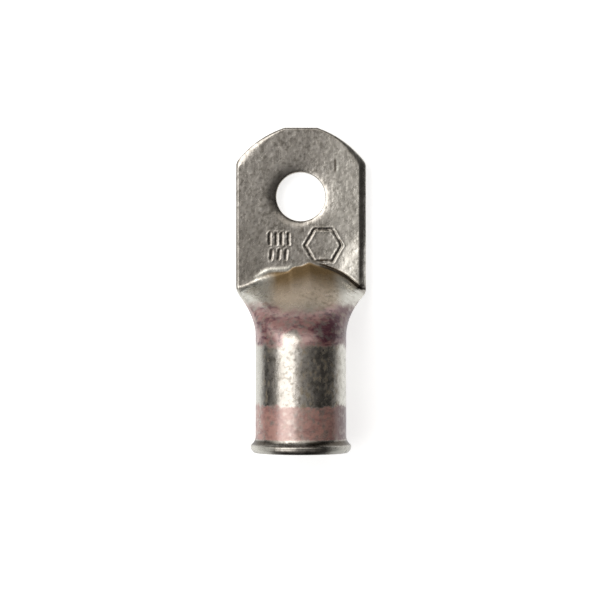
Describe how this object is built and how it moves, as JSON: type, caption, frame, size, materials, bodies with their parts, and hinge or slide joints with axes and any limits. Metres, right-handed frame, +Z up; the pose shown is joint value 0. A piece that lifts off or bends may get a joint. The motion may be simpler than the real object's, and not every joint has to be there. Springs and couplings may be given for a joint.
{
  "type": "cable lug",
  "caption": "Tin-plated copper tube lug: the bell-mouthed barrel is crimped onto a cable, and the flat palm with its stud hole bolts to a terminal or busbar.",
  "frame": {"origin": "centre of the stud hole, on the palm's underside, which is the face that bolts down", "axes": "+Z up through the stud hole, +Y along the palm to its nose, the barrel opens towards -Y"},
  "size_m": [0.0188, 0.0469, 0.0144],
  "materials": {
    "tinned_copper": "satin tin plate over copper"
  },
  "bodies": {
    "root": {"cable_lug": "tinned_copper"}
  },
  "joints": []
}
